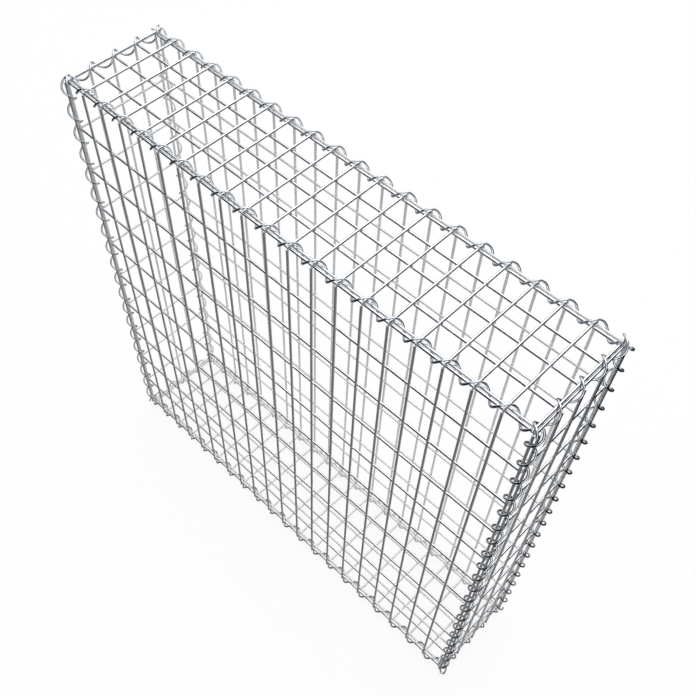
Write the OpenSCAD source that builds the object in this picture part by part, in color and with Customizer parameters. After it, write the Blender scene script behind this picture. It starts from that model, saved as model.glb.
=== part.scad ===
// Gabion basket of welded wire mesh, laced along its twelve edges with wire spirals.
// X runs along the long face, Y through the narrow depth and Z up.
// The origin is under the middle of the basket, at the height that the lowest spirals stand on.

/* [Basket] */
// Length of the front and back mats, between the middles of their outermost upright wires
basket_w = 1000; // [600:100:1200]
// Depth between the middles of the front and back mats' level wires
basket_d = 200; // [150:50:400]
// Height between the middles of the lowest and highest level wires
basket_h = 1000; // [500:100:1100]

/* [Mesh] */
// Thickness of the mesh wires
wire_d = 4.5; // [3.5:0.25:5]
// Width of a mesh cell, and the length of one turn of a spiral beside it
cell_w = 50; // [50:5:75]
// Height of a mesh cell
cell_h = 100; // [80:10:120]
// How far the lid's and base's long edge wires lie inside the front and back mats
lid_edge_in = 6.6; // [6.4:0.1:7]
// How far the lid's and base's outermost cross wires lie inside the end mats
lid_side_in = 4; // [3:0.5:5]
// How far the end mats' outermost uprights lie inside the front and back mats
end_edge_in = 2.5; // [2:0.25:3]
// How far the cut ends of the uprights stand past the outermost level wires
upright_end = 1; // [0.5:0.25:1.5]
// How far the lid's cross wires reach over the front and back mats
cross_end = 5; // [4:0.5:6]
// How far the level wires of the front and back mats reach past the basket's length
level_end = 2; // [1:0.25:2]

/* [Spirals] */
// Thickness of the spiral wire
spiral_wire_d = 3.8; // [3:0.2:4]
// Outer diameter of a spiral
spiral_od = 23; // [22.5:0.25:24]
// How far a long level spiral's axis lies inside the front or back mat
long_axis_in = 2; // [1.5:0.1:2.4]
// How far a long level spiral's axis lies above the lid's wires or below the base's
long_axis_out = 1.9; // [1.5:0.1:2.2]
// How far a short level spiral's axis lies inside the end mat
short_axis_in = 1.8; // [1.5:0.1:2.2]
// How far a short level spiral's axis lies above the lid's wires or below the base's
short_axis_out = 0.2; // [0:0.1:0.6]
// How far an upright spiral's axis lies outside the end mat
upright_axis_side = 2.25; // [2:0.05:2.5]
// How far an upright spiral's axis lies outside the front or back mat
upright_axis_front = 2; // [1.5:0.1:2.2]
// Turn of an upright spiral at a corner, from the direction that points away from the end mat
upright_turn = 22.5; // [12:1.5:24]

/* [Hidden] */
mesh_colour = [0.74, 0.76, 0.79];
spiral_colour = [0.68, 0.71, 0.76];
wire_fn = 24;

// Clear space where two wires of a mat cross, in place of the weld
weld_clear = 0.1;
// Clear space where a wire ends against a wire of the next mat
butt_clear = 0.25;
layer = wire_d + weld_clear;
butt = wire_d / 2 + butt_clear;

// Whole cells along each side, and the spacing that fills the side exactly
columns = round(basket_w / cell_w);
side_columns = round(basket_d / cell_w);
rows = round(basket_h / cell_h);
column_step = basket_w / columns;
side_step = basket_d / side_columns;
row_step = basket_h / rows;
half_w = basket_w / 2;
half_d = basket_d / 2;

// A spiral is swept as a chain of straight lengths with a square section
steps_per_turn = 8;
step_angle = 360 / steps_per_turn;
spiral_r = (spiral_od - spiral_wire_d) / 2;
chain_r = spiral_r * 2 / (1 + cos(step_angle / 2));
section_r = spiral_wire_d / 2 * 1.1;
section_flat = section_r * cos(45);

// The lowest point of the spirals under the base stands on the ground
base_z = long_axis_out + chain_r + section_flat;
top_z = base_z + basket_h;

// Where spirals meet at a corner one stops short, counted in turns, so that the others pass it
top_long_short = 0.1;
top_long_late = 0.06;
base_long_short = 0.32;
base_short_late = 0.22;
past_corner = 0.18;
long_past_corner = 0.12;
upright_top_tall = 0.16;
upright_top_low = 0.06;
upright_base_tall = 0.14;
upright_base_low = 0.18;

// Positions of n + 1 lines over a length, centred, with the outermost moved in
function lines(n, step, inset) =
    [for (i = [0:n]) (i - n / 2) * step + (i == 0 ? inset : i == n ? -inset : 0)];

module rod_x(x0, x1, y, z) {
    translate([x0, y, z])
        rotate([0, 90, 0])
            cylinder(h = x1 - x0, d = wire_d, $fn = wire_fn);
}

module rod_y(y0, y1, x, z) {
    translate([x, y0, z])
        rotate([-90, 0, 0])
            cylinder(h = y1 - y0, d = wire_d, $fn = wire_fn);
}

module rod_z(z0, z1, x, y) {
    translate([x, y, z0])
        cylinder(h = z1 - z0, d = wire_d, $fn = wire_fn);
}

// Face mat, its level wires on the plane y = 0 and its uprights outside them
module face_mat() {
    for (i = [0:rows])
        rod_x(-half_w - level_end, half_w + level_end, 0, base_z + i * row_step);
    for (x = lines(columns, column_step, 0))
        rod_z(base_z - upright_end, top_z + upright_end, x, -layer);
}

// End mat, its level wires on the plane x = 0 and its uprights outside them
module end_mat() {
    for (i = [0:rows])
        rod_y(-half_d + butt, half_d - butt, 0, base_z + i * row_step);
    for (y = lines(side_columns, side_step, end_edge_in))
        rod_z(base_z - upright_end, top_z + upright_end, layer, y);
}

// Lid mat, its long wires on the plane z = 0 and its cross wires above them
module level_mat() {
    for (y = lines(side_columns, side_step, lid_edge_in))
        rod_x(-half_w + butt, half_w - butt, y, 0);
    for (x = lines(columns, column_step, lid_side_in))
        rod_y(-half_d - cross_end, half_d + cross_end, x, layer);
}

// Stations of a spiral in turns: both ends, and each corner of the chain between them
function stations(first, last, shift) =
    let (
        tiny = 0.02,
        from = ceil((first + tiny) * steps_per_turn - shift),
        to = floor((last - tiny) * steps_per_turn - shift)
    )
    concat([first], [for (k = [from:to]) (k + shift) / steps_per_turn], [last]);

// Square ring of four points round the wire's middle at turn t
function ring(t, pitch, hand, phase) =
    let (
        a = phase + hand * t * 360,
        out = [cos(a), sin(a), 0],
        along = [-sin(a) * hand * 2 * PI * chain_r, cos(a) * hand * 2 * PI * chain_r, pitch],
        side = cross(along, out) / norm(cross(along, out)),
        middle = chain_r * out + [0, 0, t * pitch]
    )
    [for (q = [45:90:315]) middle + section_r * (cos(q) * out + sin(q) * side)];

// Wire spiral along Z from turn first to turn last, hand 1 for a right-handed one and -1 for a left
module spiral(pitch, first, last, hand, phase, shift = 0) {
    at = stations(first, last, shift);
    rings = len(at);
    points = [for (t = at) each ring(t, pitch, hand, phase)];
    sides = [
        for (r = [0:rings - 2])
            for (q = [0:3])
                let (a = r * 4 + q, b = r * 4 + (q + 1) % 4)
                each hand < 0
                    ? [[a, b, b + 4], [a, b + 4, a + 4]]
                    : [[a, b, a + 4], [b, b + 4, a + 4]]
    ];
    caps = [
        [0, 2, 1], [0, 3, 2],
        [for (q = [0, 1, 2]) (rings - 1) * 4 + q],
        [for (q = [0, 2, 3]) (rings - 1) * 4 + q]
    ];
    color(spiral_colour)
        polyhedron(points = points, faces = [for (f = concat(sides, caps)) [f[2], f[1], f[0]]]);
}

// Places a spiral's Z axis along X at the front top edge, phase 90 upwards
module along_x(z, axis_out) {
    translate([-half_w, -half_d + long_axis_in, z + axis_out])
        rotate([90, 0, 90])
            children();
}

// Places a spiral's Z axis along Y at the right top edge, phase 0 upwards
module along_y(z, axis_out) {
    translate([half_w - short_axis_in, -half_d, z + axis_out])
        rotate([-90, -90, 0])
            children();
}

// Places a spiral's Z axis at the front right corner
module along_z() {
    translate([half_w + upright_axis_side, -half_d - upright_axis_front, base_z])
        children();
}

// A turn of half a circle about the upright middle line
module half_turn() {
    rotate([0, 0, 180])
        children();
}

module front_mat() {
    color(mesh_colour)
        translate([0, -half_d, 0])
            face_mat();
}

module right_mat() {
    color(mesh_colour)
        translate([half_w, 0, 0])
            end_mat();
}

module lid_mat() {
    color(mesh_colour)
        translate([0, 0, top_z])
            level_mat();
}

module base_mat() {
    color(mesh_colour)
        translate([0, 0, base_z])
            mirror([0, 0, 1])
                level_mat();
}

module spiral_top_front() {
    along_x(top_z, long_axis_out)
        spiral(column_step, top_long_late, columns - top_long_short, -1, 90);
}

module spiral_top_right() {
    along_y(top_z, short_axis_out)
        spiral(side_step, -past_corner, side_columns + past_corner, -1, 0);
}

module spiral_base_front() {
    along_x(base_z, -long_axis_out)
        spiral(column_step, -long_past_corner, columns - base_long_short, -1, -90);
}

module spiral_base_right() {
    along_y(base_z, -short_axis_out)
        spiral(side_step, -past_corner, side_columns - base_short_late, 1, 180);
}

module spiral_upright_front_right() {
    along_z()
        spiral(row_step / 2, -upright_base_tall, rows * 2 + upright_top_tall, 1, upright_turn, 0.5);
}

module spiral_upright_front_left() {
    mirror([1, 0, 0])
        along_z()
            spiral(row_step / 2, -upright_base_low, rows * 2 + upright_top_low, 1, upright_turn, 0.5);
}

front_mat();
half_turn() front_mat();  // back_mat
right_mat();
half_turn() right_mat();  // left_mat
lid_mat();
base_mat();
spiral_top_front();
half_turn() spiral_top_front();  // spiral_top_back
spiral_top_right();
half_turn() spiral_top_right();  // spiral_top_left
spiral_base_front();
half_turn() spiral_base_front();  // spiral_base_back
spiral_base_right();
half_turn() spiral_base_right();  // spiral_base_left
spiral_upright_front_right();
half_turn() spiral_upright_front_right();  // spiral_upright_back_left
spiral_upright_front_left();
half_turn() spiral_upright_front_left();  // spiral_upright_back_right
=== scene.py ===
import math

import bpy
import numpy as np
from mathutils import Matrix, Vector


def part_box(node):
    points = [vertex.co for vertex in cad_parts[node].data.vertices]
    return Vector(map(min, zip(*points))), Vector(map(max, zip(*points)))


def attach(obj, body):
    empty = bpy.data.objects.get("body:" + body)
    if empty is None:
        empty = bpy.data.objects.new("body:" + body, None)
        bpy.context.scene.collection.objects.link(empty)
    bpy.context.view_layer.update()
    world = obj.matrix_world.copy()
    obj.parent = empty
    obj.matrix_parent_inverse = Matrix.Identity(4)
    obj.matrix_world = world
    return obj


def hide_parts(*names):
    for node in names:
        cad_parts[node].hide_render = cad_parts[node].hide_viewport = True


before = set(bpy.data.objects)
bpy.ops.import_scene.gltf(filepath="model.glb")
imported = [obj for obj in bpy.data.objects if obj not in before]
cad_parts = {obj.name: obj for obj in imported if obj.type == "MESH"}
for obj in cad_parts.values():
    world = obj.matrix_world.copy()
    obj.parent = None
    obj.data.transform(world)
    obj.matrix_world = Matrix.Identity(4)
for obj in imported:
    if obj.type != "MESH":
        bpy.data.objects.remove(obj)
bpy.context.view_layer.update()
print("frame loaded:", len(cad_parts), "nodes")


mesh = {
    "wire": 0.0045,           # thickness of the mesh wires, in metres like every length here
    "layer": 0.0046,          # from one layer of wires to the other in a mat
    "columns": 20,            # cells along the front
    "sideColumns": 4,         # cells through the depth
    "rows": 10,               # cells up the height
    "uprightEnd": 0.001,      # cut ends of the uprights past the outermost level wires
    "levelEnd": 0.002,        # ends of the face mats' level wires past the corner
    "crossEnd": 0.005,        # the lid's cross wires reach this far over the face mats
    "lidEdgeIn": 0.0066,      # the lid's long edge wires lie this far in
    "lidSideIn": 0.004,       # and its outermost cross wires this far
    "endEdgeIn": 0.0025,      # the end mats' outermost uprights lie this far in
    "butt": 0.0025,           # a wire's end to the middle line of the wire that it meets
    "sides": 16,              # facets round a wire
    "cutLength": 0.0006,      # a sheared end's rounded shoulder, along the wire
    "cutDepth": 0.22,         # and across it, as a share of the radius
}

# The middle lines of the outermost wires, from the box of the front mat's level wires and uprights.
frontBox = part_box("front_mat")
wireRadius = mesh["wire"] / 2
halfWidth = frontBox[1][0] - wireRadius
baseLine = frontBox[0][2] + wireRadius
topLine = frontBox[1][2] - wireRadius
halfDepth = -frontBox[1][1] + wireRadius
columnStep = 2 * halfWidth / mesh["columns"]
sideStep = 2 * halfDepth / mesh["sideColumns"]
rowStep = (topLine - baseLine) / mesh["rows"]


def unit(vectors):
    return vectors / np.linalg.norm(vectors, axis=-1, keepdims=True)


def sweptTubes(centres, outs, radii, sides):
    # Many tubes at once. centres and outs are (tube, ring, 3), radii is (tube, ring). A point at angle v is
    # centre + radius * (cos v * out + sin v * side), with side square to out and to the path.
    along = unit(np.gradient(centres, axis=1))
    outs = unit(outs - np.sum(outs * along, axis=-1, keepdims=True) * along)
    side = np.cross(along, outs)
    v = np.arange(sides) / sides * 2 * np.pi
    ringPoints = np.cos(v)[:, None] * outs[:, :, None, :] + np.sin(v)[:, None] * side[:, :, None, :]
    points = centres[:, :, None, :] + radii[:, :, None, None] * ringPoints
    steps = np.linalg.norm(np.diff(centres, axis=1), axis=-1)
    length = np.concatenate([np.zeros((len(centres), 1)), np.cumsum(steps, axis=1)], axis=1)
    return points, length


def tubeMesh(name, tubeSets):
    # Puts sets of swept tubes into one mesh: quads along the tubes and a flat cap on each end. The UV map
    # runs along the wire in metres and once round it, and the attribute weld is 1 on welds.
    uvShift = 0.37            # so that neighbouring wires differ
    sharpAngle = 50
    vertices, quads, uvs, caps, capUvs, weldMarks = [], [], [], [], [], []
    offset = 0
    for points, length, weldMark in tubeSets:
        count, rings, sides, _ = points.shape
        vertices.append(points.reshape(-1, 3))
        weldMarks.append(np.full(count * rings * sides, weldMark))
        index = offset + np.arange(count * rings * sides).reshape(count, rings, sides)
        after = np.roll(index, -1, axis=2)
        corners = index[:, :-1], after[:, :-1], after[:, 1:], index[:, 1:]
        quads.append(np.stack(corners, axis=-1).reshape(-1, 4))
        u = (length + np.arange(count)[:, None] * uvShift)[:, :, None]
        u = np.broadcast_to(u, (count, rings, sides))
        v = np.broadcast_to(np.arange(sides) / sides, (count, rings, sides))
        here, beside = np.stack([u, v], axis=-1), np.stack([u, v + 1 / sides], axis=-1)
        corners = here[:, :-1], beside[:, :-1], beside[:, 1:], here[:, 1:]
        uvs.append(np.stack(corners, axis=-2).reshape(-1, 2))
        caps += index[:, 0, ::-1].tolist() + index[:, -1, :].tolist()
        capUvs += [here[:, 0, ::-1].reshape(-1, 2), here[:, -1, :].reshape(-1, 2)]
        offset += count * rings * sides
    data = bpy.data.meshes.new(name)
    data.from_pydata(np.concatenate(vertices).tolist(), [], np.concatenate(quads).tolist() + caps)
    layer = data.uv_layers.new(name="alongWire")
    layer.data.foreach_set("uv", np.concatenate(uvs + capUvs).astype(np.float32).ravel())
    mark = data.attributes.new("weld", "FLOAT", "POINT")
    mark.data.foreach_set("value", np.concatenate(weldMarks).astype(np.float32))
    data.update()
    data.shade_smooth()
    data.set_sharp_from_angle(angle=math.radians(sharpAngle))
    piece = bpy.data.objects.new(name, data)
    bpy.context.scene.collection.objects.link(piece)
    return piece


def basketPiece(name, node, tubeSets):
    piece = tubeMesh(name, tubeSets)
    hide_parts(node)
    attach(piece, "root")
    return piece


def shoulder(length, depth):
    # A cut end in four rings: distances from the cut, and radii as shares of the wire's, along a quarter
    # ellipse.
    bend = np.linspace(0, np.pi / 2, 4)
    return length * (1 - np.cos(bend)), 1 - depth * (1 - np.sin(bend))


def wireTubes(starts, ends):
    # Straight wires. The ring just past each shoulder keeps the long quads' normals square to the wire.
    run = np.linalg.norm(ends - starts, axis=1)[:, None]
    places, shares = shoulder(mesh["cutLength"], mesh["cutDepth"])
    places, shares = np.append(places, 2 * mesh["cutLength"]), np.append(shares, 1)
    fromStart = np.broadcast_to(places, (len(run), len(places)))
    places = np.concatenate([fromStart, run - places[::-1]], axis=1)
    radii = np.broadcast_to(wireRadius * np.concatenate([shares, shares[::-1]]), places.shape)
    along = (ends - starts) / run
    centres = starts[:, None] + places[:, :, None] * along[:, None]
    isUpright = np.abs(along[:, 2:]) > 0.5
    outs = np.where(isUpright, [[1.0, 0, 0]], [[0, 0, 1.0]])
    outs = np.broadcast_to(outs[:, None], centres.shape)
    points, length = sweptTubes(centres, outs, radii, mesh["sides"])
    return points, length, 0.0


weld = {
    "halfWidth": 0.0021,      # the squeezed-out ring of a resistance weld
    "halfHeight": 0.0012,
    "fall": 0.62,             # how much narrower it is at both ends, as a share
    "sides": 10,
    "rings": 5,
}


def weldTubes(crossings, normal):
    # A weld is a short tube along the mat's normal. Its radius is halfWidth * (1 - fall * |v|^3).
    normal = np.array(normal, float)
    v = np.linspace(-1, 1, weld["rings"])
    centres = crossings[:, None] + (v * weld["halfHeight"])[:, None] * normal
    radii = weld["halfWidth"] * (1 - weld["fall"] * np.abs(v) ** 3)
    radii = np.broadcast_to(radii, (len(crossings), len(v)))
    outs = np.broadcast_to(np.roll(normal, 1), centres.shape)
    points, length = sweptTubes(centres, outs, radii, weld["sides"])
    return points, length, 1.0


def lines(count, step, inset):
    # Middle lines of a mat's wires, centred, with the outermost moved in.
    places = (np.arange(count + 1) - count / 2) * step
    places[0] += inset
    places[-1] -= inset
    return places


def grid(a, b):
    # Every pair of a value from a and a value from b, as two flat arrays.
    first, second = np.meshgrid(a, b, indexing="ij")
    return first.ravel(), second.ravel()


def points3(x, y, z):
    return np.stack(np.broadcast_arrays(np.asarray(x, float), y, z), axis=-1)


def matOfWires(name, node, inner, outer, crossings, normal):
    # inner and outer are the starts and ends of the mat's two layers of wires.
    tubeSets = [wireTubes(*inner), wireTubes(*outer), weldTubes(crossings, normal)]
    return basketPiece(name, node, tubeSets)


levels = baseLine + np.arange(mesh["rows"] + 1) * rowStep
uprightFoot, uprightHead = baseLine - mesh["uprightEnd"], topLine + mesh["uprightEnd"]


def faceMat(name, node, face):
    # face is -1 for the front and 1 for the back. The uprights lie outside the level wires.
    uprights = lines(mesh["columns"], columnStep, 0)
    y, yOut = face * halfDepth, face * (halfDepth + mesh["layer"])
    reach = halfWidth + mesh["levelEnd"]
    x, z = grid(uprights, levels)
    return matOfWires(
        name, node,
        (points3(-reach, y, levels), points3(reach, y, levels)),
        (points3(uprights, yOut, uprightFoot), points3(uprights, yOut, uprightHead)),
        points3(x, (y + yOut) / 2, z), (0, face, 0))


def endMat(name, node, end):
    # end is -1 for the left and 1 for the right. The uprights lie outside the level wires.
    uprights = lines(mesh["sideColumns"], sideStep, mesh["endEdgeIn"])
    x, xOut = end * halfWidth, end * (halfWidth + mesh["layer"])
    reach = halfDepth - mesh["butt"]
    y, z = grid(uprights, levels)
    welded = np.abs(y) <= reach
    return matOfWires(
        name, node,
        (points3(x, -reach, levels), points3(x, reach, levels)),
        (points3(xOut, uprights, uprightFoot), points3(xOut, uprights, uprightHead)),
        points3((x + xOut) / 2, y[welded], z[welded]), (end, 0, 0))


def levelMat(name, node, side):
    # side is 1 for the lid and -1 for the base. The cross wires lie outside the long ones.
    longWires = lines(mesh["sideColumns"], sideStep, mesh["lidEdgeIn"])
    crossWires = lines(mesh["columns"], columnStep, mesh["lidSideIn"])
    z = topLine if side > 0 else baseLine
    zOut = z + side * mesh["layer"]
    reach = halfWidth - mesh["butt"]
    across = halfDepth + mesh["crossEnd"]
    x, y = grid(crossWires, longWires)
    return matOfWires(
        name, node,
        (points3(-reach, longWires, z), points3(reach, longWires, z)),
        (points3(crossWires, -across, zOut), points3(crossWires, across, zOut)),
        points3(x, y, (z + zOut) / 2), (0, 0, side))


mats = [
    faceMat("frontMat", "front_mat", -1),
    faceMat("backMat", "back_mat", 1),
    endMat("leftMat", "left_mat", -1),
    endMat("rightMat", "right_mat", 1),
    levelMat("lidMat", "lid_mat", 1),
    levelMat("baseMat", "base_mat", -1),
]
print("mats:", len(mats))


spiral = {
    "wire": 0.0038,           # thickness of the spiral wire
    "outer": 0.023,           # outer diameter of the coil
    "longIn": 0.002,          # the long level spirals' axis, inside the face mat
    "longOut": 0.0019,        # and outside the lid or base
    "shortIn": 0.0018,        # the short level spirals' axis, inside the end mat
    "shortOut": 0.0002,       # and outside the lid or base
    "uprightSide": 0.00225,   # the upright spirals' axis, outside the end mat
    "uprightFront": 0.002,    # and outside the face mat
    "uprightTurn": 22.5,      # degrees from the outward side at each corner
    "ringsPerTurn": 36,
    "sides": 14,
    "cutLength": 0.0005,
    "cutDepth": 0.2,
}


def helixPath(pitch, first, last, hand, phase):
    # Middle line of a coil along Z: (r cos a, r sin a, pitch * t), a = phase + hand * 2 pi t, t in turns.
    radius = (spiral["outer"] - spiral["wire"]) / 2
    perTurn = math.hypot(2 * math.pi * radius, pitch)
    cut, shares = shoulder(spiral["cutLength"] / perTurn, spiral["cutDepth"])
    body = np.linspace(first, last, int((last - first) * spiral["ringsPerTurn"]) + 1)[1:-1]
    t = np.concatenate([first + cut, body, last - cut[::-1]])
    a = math.radians(phase) + hand * 2 * np.pi * t
    outs = points3(np.cos(a), np.sin(a), 0)
    centres = radius * outs + points3(0, 0, t * pitch)
    radii = spiral["wire"] / 2 * np.concatenate([shares, np.ones(len(body)), shares[::-1]])
    return centres, outs, radii


def lacing(name, node, halfTurn, pitch, first, last, hand, phase, axes, start, flip=False):
    # axes lays the coil's Z axis on its edge and start moves it there. halfTurn puts it on the opposite
    # edge of the basket, and flip mirrors it from the right end to the left.
    centres, outs, radii = helixPath(pitch, first, last, hand, phase)
    mirror = np.array([-1 if halfTurn != flip else 1, -1 if halfTurn else 1, 1])
    centres = (centres @ axes + start) * mirror
    outs = outs @ axes * mirror
    points, length = sweptTubes(centres[None], outs[None], radii[None], spiral["sides"])
    return basketPiece(name + "Spiral", "spiral_" + node, [(points, length, 0.0)])


# Rows of these are the ways in which a coil's own X, Y and Z lie.
alongX = np.array([[0, 1, 0], [0, 0, 1], [1, 0, 0]])
alongY = np.array([[0, 0, 1], [1, 0, 0], [0, 1, 0]])
alongZ = np.eye(3)
frontLine, rightLine = -halfDepth + spiral["longIn"], halfWidth - spiral["shortIn"]
frontTop = (-halfWidth, frontLine, topLine + spiral["longOut"])
frontBase = (-halfWidth, frontLine, baseLine - spiral["longOut"])
rightTop = (rightLine, -halfDepth, topLine + spiral["shortOut"])
rightBase = (rightLine, -halfDepth, baseLine - spiral["shortOut"])
frontRight = (halfWidth + spiral["uprightSide"], -halfDepth - spiral["uprightFront"], baseLine)
columns, sideColumns, coils = mesh["columns"], mesh["sideColumns"], mesh["rows"] * 2
turn = spiral["uprightTurn"]

# Each row laces an edge and the one opposite it: two names, two nodes, pitch, first turn, last turn, hand,
# phase in degrees, axes, start, flip.
lacingPlan = [
    ("topFront", "topBack", "top_front", "top_back",
     columnStep, 0.06, columns - 0.1, -1, 90, alongX, frontTop),
    ("topRight", "topLeft", "top_right", "top_left",
     sideStep, -0.18, sideColumns + 0.18, -1, 0, alongY, rightTop),
    ("baseFront", "baseBack", "base_front", "base_back",
     columnStep, -0.12, columns - 0.32, -1, -90, alongX, frontBase),
    ("baseRight", "baseLeft", "base_right", "base_left",
     sideStep, -0.18, sideColumns - 0.22, 1, 180, alongY, rightBase),
    ("frontRight", "backLeft", "upright_front_right", "upright_back_left",
     rowStep / 2, -0.14, coils + 0.16, 1, turn, alongZ, frontRight),
    ("frontLeft", "backRight", "upright_front_left", "upright_back_right",
     rowStep / 2, -0.18, coils + 0.06, 1, turn, alongZ, frontRight, True),
]
spirals = []
for name, oppositeName, node, oppositeNode, *course in lacingPlan:
    spirals += [lacing(name, node, False, *course), lacing(oppositeName, oppositeNode, True, *course)]
print("spirals:", len(spirals))


class Value:
    # Wraps a number socket, so that an expression adds its Math nodes.
    def __init__(self, shader, socket):
        self.shader, self.socket = shader, socket

    def maths(self, operation, other):
        return self.shader.value("ShaderNodeMath", {"operation": operation}, {0: self, 1: other})

    def __add__(self, other): return self.maths("ADD", other)
    def __sub__(self, other): return self.maths("SUBTRACT", other)
    def __mul__(self, other): return self.maths("MULTIPLY", other)
    def __rsub__(self, other): return self * -1 + other
    __radd__, __rmul__ = __add__, __mul__


class Shader:
    # Builds the node tree of a material or a world.
    def __init__(self, owner):
        owner.use_nodes = True
        self.tree = owner.node_tree
        self.tree.nodes.clear()

    def node(self, kind, settings=None, inputs=None):
        made = self.tree.nodes.new(kind)
        for key, value in (settings or {}).items():
            setattr(made, key, value)
        for key, value in (inputs or {}).items():
            if isinstance(value, Value):
                value = value.socket
            if isinstance(value, bpy.types.NodeSocket):
                self.tree.links.new(value, made.inputs[key])
            else:
                made.inputs[key].default_value = value
        return made

    def output(self, kind, settings=None, inputs=None, output=0):
        return self.node(kind, settings, inputs).outputs[output]

    def value(self, kind, settings=None, inputs=None, output=0):
        return Value(self, self.output(kind, settings, inputs, output))

    def blend(self, factor, first, second):
        # Inputs 6 and 7 and output 2 are the mix node's colours.
        inputs = {0: factor, 6: first, 7: second}
        return self.output("ShaderNodeMix", {"data_type": "RGBA"}, inputs, 2)


def newMaterial(name):
    material = bpy.data.materials.new(name)
    return material, Shader(material)


meshZinc = {
    "bright": (0.89, 0.912, 0.945, 1),
    "dull": (0.67, 0.69, 0.72, 1),
    "weldTone": (0.40, 0.41, 0.425, 1),
    "metallic": 1.0,
    "roughness": 0.13,
    "roughSpread": 0.08,       # rougher by up to this where the tone is dull
    "usualDull": 0.4,          # usual share of dull in the tone, at which roughness holds
    "weldRoughness": 0.18,     # and by this on welds
    "spangle": 520.0,          # zinc crystals to the metre
    "clouds": 34.0,            # cloudy patches to the metre
    "drawLines": (9, 46, 1),   # die lines to a metre along the wire, and round it
    "crystalTone": 0.35,       # what each adds to the tone
    "lineTone": 0.3,
    "cloudTone": 0.5,
    "crystalRelief": 0.25,     # and to the relief
    "lineRelief": 0.6,
    "weldRelief": 2.0,
    "weldCover": 0.4,          # least share of the weld's own tone on a weld
    "bumpDepth": 0.00012,
    "bumpStrength": 0.35,
}
spiralZinc = dict(
    meshZinc,
    bright=(0.83, 0.87, 0.93, 1),
    dull=(0.60, 0.635, 0.69, 1),
    roughness=0.12,
    spangle=700.0,
)
# A paler, less metallic copy of the zinc, for painted light: the pieces that wear it render lighter.
paleLitChange = {"metallic": 0.45, "bright": (0.91, 0.905, 0.90, 1), "dull": (0.70, 0.695, 0.69, 1)}


def galvanised(name, zinc):
    # Drawn wire dipped in zinc: fine crystals, faint lines along the wire and duller, rougher welds.
    material, shader = newMaterial(name)
    uv = shader.output("ShaderNodeUVMap", {"uv_map": "alongWire"})
    place = shader.output("ShaderNodeTexCoord", output="Object")
    weldMark = shader.value("ShaderNodeAttribute", {"attribute_name": "weld"}, output="Fac")
    stretched = shader.output("ShaderNodeMapping", {}, {"Vector": uv, "Scale": zinc["drawLines"]})
    drawn = shader.value("ShaderNodeTexNoise", {"noise_dimensions": "2D"},
                         {"Vector": stretched, "Scale": 1.0, "Detail": 3.0, "Roughness": 0.6})
    cells = {"Vector": place, "Scale": zinc["spangle"]}
    crystals = shader.output("ShaderNodeTexVoronoi", {}, cells, "Color")
    grey = shader.value("ShaderNodeRGBToBW", {}, {"Color": crystals})
    patches = {"Vector": place, "Scale": zinc["clouds"], "Detail": 3.0}
    clouds = shader.value("ShaderNodeTexNoise", {}, patches)
    tone = grey * zinc["crystalTone"] + drawn * zinc["lineTone"] + clouds * zinc["cloudTone"]
    colour = shader.blend(tone, zinc["dull"], zinc["bright"])
    cover = clouds * (1 - zinc["weldCover"]) + zinc["weldCover"]
    colour = shader.blend(weldMark * cover, colour, zinc["weldTone"])
    rough = (1 - tone) * zinc["roughSpread"] + weldMark * zinc["weldRoughness"]
    rough = rough + (zinc["roughness"] - zinc["roughSpread"] * zinc["usualDull"])
    relief = drawn * zinc["lineRelief"] + grey * zinc["crystalRelief"]
    relief = relief + weldMark * clouds * zinc["weldRelief"]
    bump = shader.output("ShaderNodeBump", {}, {
        "Strength": zinc["bumpStrength"], "Distance": zinc["bumpDepth"], "Height": relief})
    surface = shader.output("ShaderNodeBsdfPrincipled", {}, {
        "Base Color": colour, "Metallic": zinc["metallic"], "Roughness": rough, "Normal": bump})
    shader.node("ShaderNodeOutputMaterial", {}, {"Surface": surface})
    return material


# The back, left and base mats, and the spirals that join two of them, have a paler, less metallic copy of
# the same zinc, the finishes named matt: painted light, which makes them render lighter than the front,
# right and lid.
paleLitPieces = ("backMat", "leftMat", "baseMat", "baseBackSpiral", "baseLeftSpiral", "backLeftSpiral")
for pieces, kind, zinc in ((mats, "Mesh", meshZinc), (spirals, "Spiral", spiralZinc)):
    finishes = galvanised("bright" + kind, zinc), galvanised("matt" + kind, dict(zinc, **paleLitChange))
    for piece in pieces:
        piece.data.materials.append(finishes[piece.name in paleLitPieces])
print("materials on", len(mats) + len(spirals), "pieces")


floor = {"half": 40.0, "colour": (0.93, 0.932, 0.935, 1), "whiteShare": 0.87}


def whiteWhereSeen(shader, share):
    # How much of plain white the camera sees here, straight on or in the metal. Other rays get none.
    rays = shader.node("ShaderNodeLightPath").outputs
    return (Value(shader, rays["Is Camera Ray"]) + Value(shader, rays["Is Glossy Ray"])
            + Value(shader, rays["Is Transmission Ray"])) * share


def stageMesh(name, vertices, faces):
    data = bpy.data.meshes.new(name)
    data.from_pydata(vertices, [], faces)
    piece = bpy.data.objects.new(name, data)
    bpy.context.scene.collection.objects.link(piece)
    return piece


def paleFloor():
    # A matt pale floor that keeps the shadow, brought up to white where it is seen.
    h = floor["half"]
    piece = stageMesh("floor", [(-h, -h, 0), (h, -h, 0), (h, h, 0), (-h, h, 0)], [(0, 1, 2, 3)])
    material, shader = newMaterial("paleFloor")
    dull = shader.output("ShaderNodeBsdfDiffuse", {}, {"Color": floor["colour"]})
    white = shader.output("ShaderNodeEmission", {}, {"Color": (1, 1, 1, 1), "Strength": 1.0})
    mixed = shader.output("ShaderNodeMixShader", {},
                          {0: whiteWhereSeen(shader, floor["whiteShare"]), 1: dull, 2: white})
    shader.node("ShaderNodeOutputMaterial", {}, {"Surface": mixed})
    piece.data.materials.append(material)


paleFloor()

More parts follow.
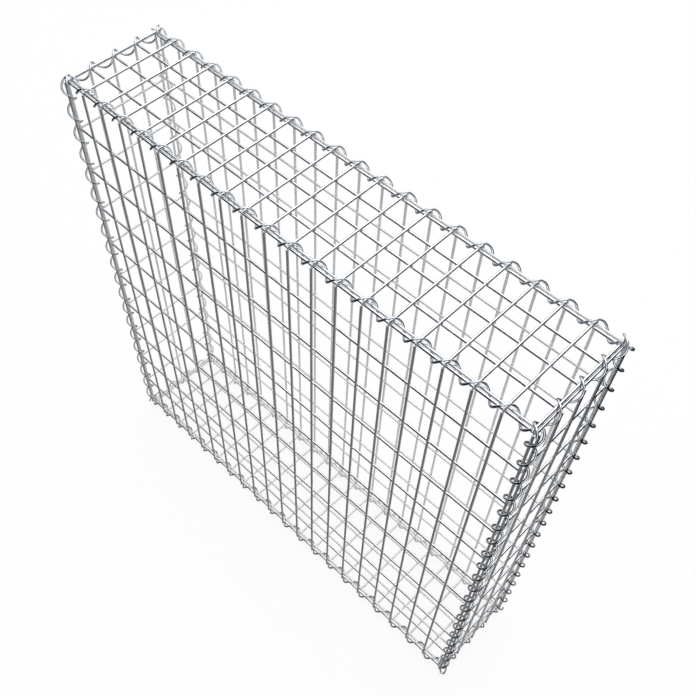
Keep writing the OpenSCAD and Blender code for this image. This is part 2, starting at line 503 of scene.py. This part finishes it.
screen = {
    "middle": (-0.35, -0.1),
    "radius": 3.4,
    "directions": 144,
    "rings": 161,
    "firstRing": 0.001,       # as a share of the way, so that the points in the middle stay apart
    "rise": 1.5,              # power by which the wall steepens
    "lift": 0.0004,           # above the floor
    # Height of the wall at its rim by compass side, in degrees from +X towards +Y.
    "wallSides": (-180, -165, -130, -110, -85, -65, -15, 5, 45, 65, 180),
    "wallHeights": (0, 4.4, 5.0, 7.5, 7.5, 1.3, 1.3, 4.2, 4.2, 0, 0),
    # near and far are the painted reflection's tones: grey under the basket, nearly black beyond it and up
    # the wall.
    "near": (0.37, 0.358, 0.344, 1),
    "far": (0.004, 0.005, 0.007, 1),
    "nearTo": 1.3,            # distances from its middle between which near turns to far
    # front, soft and frontShare make the sheet darker in front of the basket: painted shade, so that the
    # front mat's uprights reflect darker than the back mat's.
    "farFrom": 1.55,
    "front": -0.1,            # in front of this line, over a soft strip, near keeps a share only
    "soft": 0.05,
    "frontShare": 0.45,
}


def darkScreen():
    # A matt sheet under the basket that rises into a wall on the camera's side, unseen by the camera and
    # seen only in the metal: a painted reflection. In the bright metal it draws the dark line along the
    # underside of every level wire, as painted shade.
    # At (u, v), u is the compass direction. v runs from the middle to the rim in its first half, and up
    # the wall as (2v - 1)^rise in its second.
    u = np.arange(screen["directions"]) / screen["directions"] * 2 * np.pi
    v = np.linspace(screen["firstRing"], 1, screen["rings"])
    radius = np.broadcast_to(screen["radius"] * np.minimum(2 * v, 1), (len(u), len(v)))
    compass = (np.degrees(u) + 180) % 360 - 180
    tall = np.interp(compass, screen["wallSides"], screen["wallHeights"])[:, None]
    height = screen["lift"] + tall * np.maximum(2 * v - 1, 0) ** screen["rise"]
    x = screen["middle"][0] + radius * np.cos(u)[:, None]
    y = screen["middle"][1] + radius * np.sin(u)[:, None]
    index = np.arange(radius.size).reshape(radius.shape)
    after = np.roll(index, -1, axis=0)
    corners = index[:, :-1], index[:, 1:], after[:, 1:], after[:, :-1]
    faces = np.stack(corners, axis=-1).reshape(-1, 4)
    piece = stageMesh("screen", points3(x, y, height).reshape(-1, 3).tolist(), faces.tolist())
    piece.visible_camera = piece.visible_shadow = False
    piece.visible_transmission = piece.visible_diffuse = False

    near = np.clip((screen["farFrom"] - radius) / (screen["farFrom"] - screen["nearTo"]), 0, 1)
    inFront = np.clip((screen["front"] - y) / screen["soft"], 0, 1)
    near = near * (1 - (1 - screen["frontShare"]) * inFront)
    mark = piece.data.attributes.new("near", "FLOAT", "POINT")
    mark.data.foreach_set("value", near.astype(np.float32).ravel())
    material, shader = newMaterial("darkScreen")
    nearMark = shader.value("ShaderNodeAttribute", {"attribute_name": "near"}, output="Fac")
    colour = shader.blend(nearMark, screen["far"], screen["near"])
    dull = shader.output("ShaderNodeBsdfDiffuse", {}, {"Color": colour})
    shader.node("ShaderNodeOutputMaterial", {}, {"Surface": dull})
    piece.data.materials.append(material)


darkScreen()

studio = {
    "world": 0.92,            # light from all round on matt surfaces
    "sky": (0.96, 0.98, 1, 1),
    "keyPower": 46.0,
    "keySize": 4.0,
    "keyFrom": (-0.8, 2.0, 4.8),
    "fillPower": 12.0,
    "fillSize": 3.0,
    "fillFrom": (3.2, -3.4, 2.2),
}


def areaLamp(name, place, size, power, target):
    lamp = bpy.data.lights.new(name, "AREA")
    lamp.shape, lamp.size, lamp.energy = "DISK", size, power
    piece = bpy.data.objects.new(name, lamp)
    piece.location = place
    aim = unit(np.array(target, float) - place)
    piece.rotation_euler = (math.acos(-aim[2]), 0, math.atan2(-aim[0], aim[1]))
    bpy.context.scene.collection.objects.link(piece)


middle = (0, 0, (baseLine + topLine) / 2)
areaLamp("key", studio["keyFrom"], studio["keySize"], studio["keyPower"], middle)
areaLamp("fill", studio["fillFrom"], studio["fillSize"], studio["fillPower"], middle)


def studioWorld():
    # Soft light from all round for matt surfaces, white where it is seen.
    world = bpy.data.worlds.new("studio")
    shader = Shader(world)
    sky = {"Color": studio["sky"], "Strength": studio["world"]}
    light = shader.output("ShaderNodeBackground", {}, sky)
    white = shader.output("ShaderNodeBackground", {}, {"Color": (1, 1, 1, 1), "Strength": 1.0})
    mixed = shader.output("ShaderNodeMixShader", {}, {0: whiteWhereSeen(shader, 1.0), 1: light, 2: white})
    shader.node("ShaderNodeOutputWorld", {}, {"Surface": mixed})
    return world


bpy.context.scene.world = studioWorld()
bpy.context.scene.view_settings.view_transform = "Standard"

view = {
    "lens": 45.716,
    "sensor": 36,
    "shiftX": 0.0632,
    "shiftY": 0.0608,
    "from": (0.7118, -0.7111, 1.9655),    # the last number is above the lowest level wire
    "tilt": 33.8625,
    "roll": 0.4941,
    "turn": 45.3805,
}
camera = bpy.data.objects.new("camera", bpy.data.cameras.new("camera"))
camera.data.lens, camera.data.sensor_width = view["lens"], view["sensor"]
camera.data.shift_x, camera.data.shift_y = view["shiftX"], view["shiftY"]
camera.location = (view["from"][0], view["from"][1], view["from"][2] + baseLine)
camera.rotation_euler = [math.radians(view[angle]) for angle in ("tilt", "roll", "turn")]
bpy.context.scene.collection.objects.link(camera)
bpy.context.scene.camera = camera
print("floor, light and camera set")
